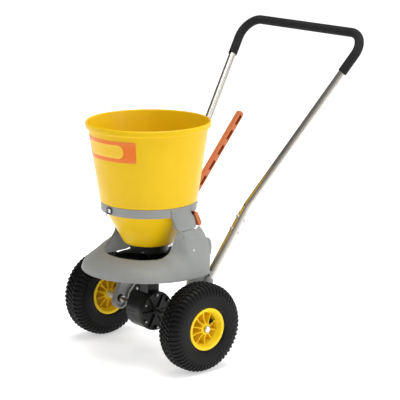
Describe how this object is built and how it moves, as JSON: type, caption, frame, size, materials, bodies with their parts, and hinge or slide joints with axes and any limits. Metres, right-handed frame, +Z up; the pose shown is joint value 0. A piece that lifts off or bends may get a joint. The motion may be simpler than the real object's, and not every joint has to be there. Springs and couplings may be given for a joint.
{
  "type": "walk-behind garden spreader",
  "caption": "Walk-behind broadcast spreader: round hopper on a moulded chassis, gear-driven spinner, two pneumatic wheels, raked push handle and dosing lever.",
  "frame": {"origin": "middle of the base on the ground, at the centre of the overall box", "axes": "+X to the machine's left, +Y back towards the person who pushes, +Z up; it travels towards -Y"},
  "size_m": [0.5502, 0.8312, 0.9342],
  "materials": {
    "yellow_hopper": "satin gloss moulded polyethylene",
    "yellow_rim": "satin moulded polyamide",
    "grey_moulding": "fine grained moulding",
    "black_moulding": "satin moulding",
    "orange_moulding": "satin moulding",
    "label_orange": "satin printed film",
    "tyre_rubber": "matt rubber",
    "foam_rubber": "closed-cell foam, matt",
    "stainless": "drawn stainless tube and sheet",
    "zinc": "bright zinc plate",
    "nylon": "natural polyamide"
  },
  "bodies": {
    "chassis": {"chassis_shell": "grey_moulding", "collar_ring": "grey_moulding", "collar_clip": "black_moulding", "hopper": "yellow_hopper", "hopper_label": "label_orange", "metering_base": "black_moulding", "left_leg": "grey_moulding", "right_leg": "grey_moulding", "left_axle_bush": "nylon", "right_axle_bush": "nylon", "cross_beam": "stainless", "gearbox_arm": "stainless", "gearbox_housing": "black_moulding", "gearbox_cover": "black_moulding", "cover_screw_1": "zinc", "cover_screw_2": "zinc", "cover_screw_3": "zinc", "cover_screw_4": "zinc", "cover_screw_5": "zinc", "cover_screw_6": "zinc", "lower_shaft_bush": "nylon", "upper_shaft_bush": "nylon", "lever_bracket": "black_moulding", "lever_pivot": "zinc", "left_lower_tube": "stainless", "right_lower_tube": "stainless", "handle_bow": "stainless", "grip_sleeve": "foam_rubber", "handle_bolt_1": "zinc", "handle_bolt_2": "zinc", "handle_bolt_3": "zinc", "handle_bolt_4": "zinc", "stand": "stainless", "stand_pad": "black_moulding"},
    "drive_axle": {"axle": "stainless", "crown_gear": "nylon", "crown_gear_pin": "zinc", "wheel_drive_pin": "zinc", "left_rim": "yellow_rim", "left_tyre": "tyre_rubber", "left_inner_tube": "black_moulding", "left_hub_cap": "zinc", "right_hub_cap": "zinc", "left_spacer": "nylon", "right_spacer": "nylon", "axle_set_collar": "zinc"},
    "right_wheel": {"right_rim": "yellow_rim", "right_tyre": "tyre_rubber", "right_inner_tube": "black_moulding"},
    "spinner": {"spinner_shaft": "stainless", "pinion": "zinc", "spinner_disc": "black_moulding", "spinner_pin": "zinc", "agitator": "stainless"},
    "dosing_lever": {"dosing_lever": "orange_moulding", "gate_pin": "zinc"},
    "gate": {"gate_plate": "stainless"},
    "left_latch": {"left_latch": "orange_moulding"},
    "right_latch": {"right_latch": "orange_moulding"}
  },
  "joints": [
    {"name": "axle_spin", "type": "hinge", "parent": "chassis", "child": "drive_axle", "pos_m": [0, -0.2156, 0.13], "axis": [1, 0, 0], "continuous": true},
    {"name": "right_wheel_spin", "type": "hinge", "parent": "drive_axle", "child": "right_wheel", "pos_m": [-0.2297, -0.2156, 0.13], "axis": [1, 0, 0], "continuous": true},
    {"name": "spinner_spin", "type": "hinge", "parent": "chassis", "child": "spinner", "pos_m": [0, -0.2156, 0.286], "axis": [0, 0, 1], "continuous": true},
    {"name": "lever_swing", "type": "hinge", "parent": "chassis", "child": "dosing_lever", "pos_m": [-0.05, -0.0827, 0.345], "axis": [1, 0, 0], "range_deg": [0, 22]},
    {"name": "gate_slide", "type": "slide", "parent": "chassis", "child": "gate", "axis": [0, 1, 0], "range_m": [0, 0.0154]},
    {"name": "left_latch_swing", "type": "hinge", "parent": "chassis", "child": "left_latch", "pos_m": [0.1455, -0.1616, 0.44], "axis": [1, 0, 0], "range_deg": [0, 45]},
    {"name": "right_latch_swing", "type": "hinge", "parent": "chassis", "child": "right_latch", "pos_m": [-0.1455, -0.1616, 0.44], "axis": [1, 0, 0], "range_deg": [0, 45]}
  ],
  "couplings": [
    {"joint": "spinner_spin", "follows": "axle_spin", "ratio": -4},
    {"joint": "gate_slide", "follows": "lever_swing", "m_per_rad": 0.0393}
  ]
}
